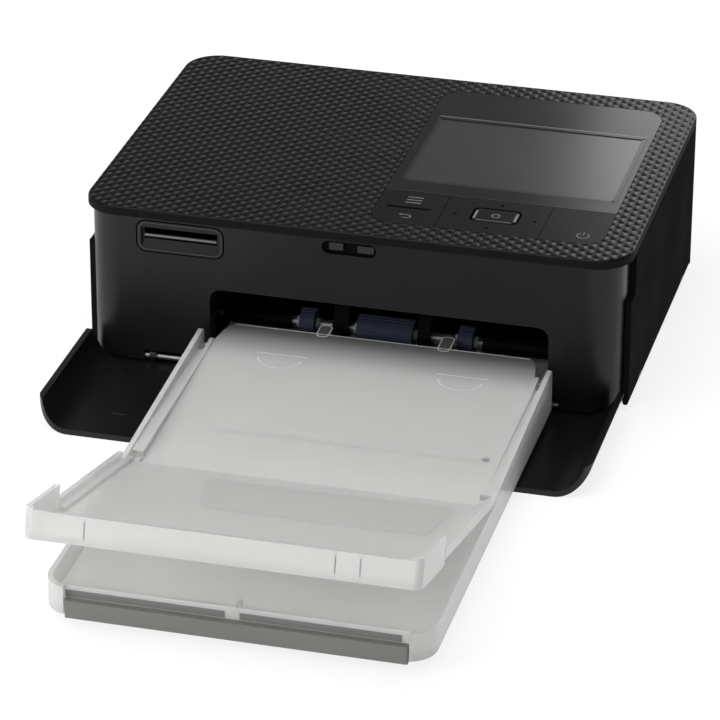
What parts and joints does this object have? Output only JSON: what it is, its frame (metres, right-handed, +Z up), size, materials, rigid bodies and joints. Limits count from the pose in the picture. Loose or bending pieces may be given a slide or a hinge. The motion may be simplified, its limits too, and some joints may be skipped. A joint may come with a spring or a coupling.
{
  "type": "compact photo printer",
  "caption": "Flat compact photo printer with display and key panel on top, folding front cover, and frosted paper cassette with its lid raised.",
  "frame": {"origin": "centre of the bounding box's underside, on the table", "axes": "+X to the printer's right seen from its front, +Y to its back, +Z up"},
  "size_m": [0.1834, 0.3138, 0.0576],
  "materials": {
    "case_top": "textured black",
    "case_black": "fine satin black",
    "panel_gloss": "gloss black",
    "window": "clear, slightly grey",
    "display": "matt grey panel",
    "key_trim": "gloss black, bright edge",
    "board": "solder-masked board",
    "clear": "frosted clear",
    "bar_grey": "satin dark grey",
    "steel": "bright steel",
    "sheet": "blackened sheet steel",
    "alu": "as drawn",
    "brass": "machined",
    "rubber": "matt rubber",
    "roller_blue": "matt navy rubber",
    "inner_black": "matt black",
    "gear_white": "natural acetal",
    "ribbon_shell": "off-white moulded plastic",
    "ribbon": "dye film",
    "head": "ceramic and glaze"
  },
  "bodies": {
    "root": {"top_cover": "case_top", "control_panel": "panel_gloss", "display_window": "window", "display_module": "display", "key_board": "board", "front_bezel": "case_black", "card_slot_frame": "case_black", "card_socket": "inner_black", "card_board": "board", "cover_catch": "panel_gloss", "left_side_cover": "case_black", "door_pins": "steel", "rear_cover": "case_black", "base": "case_black", "rubber_feet": "rubber", "base_screws": "steel", "cover_hinge_rods": "steel", "chassis": "sheet", "paper_guide": "inner_black", "shaft_bushes": "gear_white", "feed_arm": "inner_black", "arm_rod": "steel", "motor": "steel", "motor_bracket": "steel", "thermal_head": "head", "head_beam": "alu", "heat_sink": "alu", "ribbon_cassette": "ribbon_shell", "main_board": "board", "dc_jack": "inner_black", "usb_port": "steel"},
    "front_cover": {"front_cover": "case_black"},
    "ink_door": {"ink_door": "case_black"},
    "paper_cassette": {"paper_tray": "clear", "tray_front_bar": "bar_grey", "lid_pins": "clear"},
    "lift_plate": {"lift_plate": "clear"},
    "inner_lid": {"inner_lid": "clear"},
    "output_lid": {"output_lid": "clear"},
    "rocker_key": {"rocker_key": "panel_gloss"},
    "nav_key": {"nav_key": "panel_gloss"},
    "ok_key": {"ok_key": "key_trim"},
    "power_key": {"power_key": "panel_gloss"},
    "platen": {"platen_shaft": "steel", "platen_roller": "rubber", "platen_gear": "gear_white"},
    "motor_rotor": {"motor_pinion": "brass"},
    "idler": {"idler_gear": "gear_white"},
    "feed": {"feed_shaft": "steel", "feed_rollers": "roller_blue", "feed_sleeves": "inner_black", "feed_gear": "gear_white"},
    "capstan": {"capstan": "steel", "capstan_gear": "gear_white"},
    "pinch": {"pinch_roller": "rubber"},
    "supply": {"supply_spool": "ribbon", "supply_drive": "gear_white"},
    "takeup": {"takeup_spool": "ribbon", "takeup_drive": "gear_white"}
  },
  "joints": [
    {"name": "front_cover_hinge", "type": "hinge", "parent": "root", "child": "front_cover", "pos_m": [0, 0.02554, 0.0038], "axis": [-1, 0, 0], "range_deg": [0, 1.7]},
    {"name": "ink_door_hinge", "type": "hinge", "parent": "root", "child": "ink_door", "pos_m": [0.09075, 0.08894, 0.00315], "axis": [0, 1, 0], "range_deg": [0, 88]},
    {"name": "cassette_slide", "type": "slide", "parent": "root", "child": "paper_cassette", "axis": [0, -1, 0], "range_m": [0, 0.036]},
    {"name": "lift_plate_hinge", "type": "hinge", "parent": "paper_cassette", "child": "lift_plate", "pos_m": [0.0094, -0.01406, 0.0068], "axis": [1, 0, 0], "range_deg": [0, 1.5]},
    {"name": "inner_lid_hinge", "type": "hinge", "parent": "paper_cassette", "child": "inner_lid", "pos_m": [0.0094, -0.06206, 0.0115], "axis": [1, 0, 0], "range_deg": [0, 6]},
    {"name": "output_lid_hinge", "type": "hinge", "parent": "paper_cassette", "child": "output_lid", "pos_m": [0.0094, -0.06206, 0.0115], "axis": [-1, 0, 0], "range_deg": [-13, 80]},
    {"name": "rocker_key_tilt", "type": "hinge", "parent": "root", "child": "rocker_key", "pos_m": [0.01395, 0.04814, 0.0569], "axis": [1, 0, 0], "range_deg": [-1.2, 1.2], "stiffness_Nm_per_rad": 0.02},
    {"name": "nav_key_press", "type": "slide", "parent": "root", "child": "nav_key", "axis": [0, 0, -1], "range_m": [0, 0.00035], "stiffness_N_per_m": 300, "springref_m": -0.001},
    {"name": "ok_key_press", "type": "slide", "parent": "root", "child": "ok_key", "axis": [0, 0, -1], "range_m": [0, 0.00035], "stiffness_N_per_m": 300, "springref_m": -0.001},
    {"name": "power_key_press", "type": "slide", "parent": "root", "child": "power_key", "axis": [0, 0, -1], "range_m": [0, 0.00035], "stiffness_N_per_m": 300, "springref_m": -0.001},
    {"name": "platen_spin", "type": "hinge", "parent": "root", "child": "platen", "pos_m": [0.0094, 0.08394, 0.014], "axis": [1, 0, 0], "continuous": true},
    {"name": "motor_spin", "type": "hinge", "parent": "root", "child": "motor_rotor", "pos_m": [0.0094, 0.08394, 0.028], "axis": [1, 0, 0], "continuous": true},
    {"name": "idler_spin", "type": "hinge", "parent": "root", "child": "idler", "pos_m": [0.0094, 0.06293, 0.01855], "axis": [1, 0, 0], "continuous": true},
    {"name": "feed_spin", "type": "hinge", "parent": "root", "child": "feed", "pos_m": [0.0094, 0.04294, 0.014], "axis": [1, 0, 0], "continuous": true},
    {"name": "capstan_spin", "type": "hinge", "parent": "root", "child": "capstan", "pos_m": [0.0094, 0.10194, 0.014], "axis": [1, 0, 0], "continuous": true},
    {"name": "pinch_spin", "type": "hinge", "parent": "root", "child": "pinch", "pos_m": [0.0094, 0.10194, 0.01985], "axis": [1, 0, 0], "continuous": true},
    {"name": "supply_spin", "type": "hinge", "parent": "root", "child": "supply", "pos_m": [0.0094, 0.07194, 0.037], "axis": [1, 0, 0], "continuous": true},
    {"name": "takeup_spin", "type": "hinge", "parent": "root", "child": "takeup", "pos_m": [0.0094, 0.11394, 0.037], "axis": [1, 0, 0], "continuous": true}
  ],
  "couplings": [
    {"joint": "motor_spin", "follows": "platen_spin", "ratio": -1.8},
    {"joint": "idler_spin", "follows": "platen_spin", "ratio": -0.72},
    {"joint": "feed_spin", "follows": "platen_spin", "ratio": 1.125},
    {"joint": "capstan_spin", "follows": "platen_spin", "ratio": -1},
    {"joint": "pinch_spin", "follows": "platen_spin", "ratio": 1.1538},
    {"joint": "supply_spin", "follows": "platen_spin", "ratio": 0.25},
    {"joint": "takeup_spin", "follows": "platen_spin", "ratio": 0.32}
  ]
}
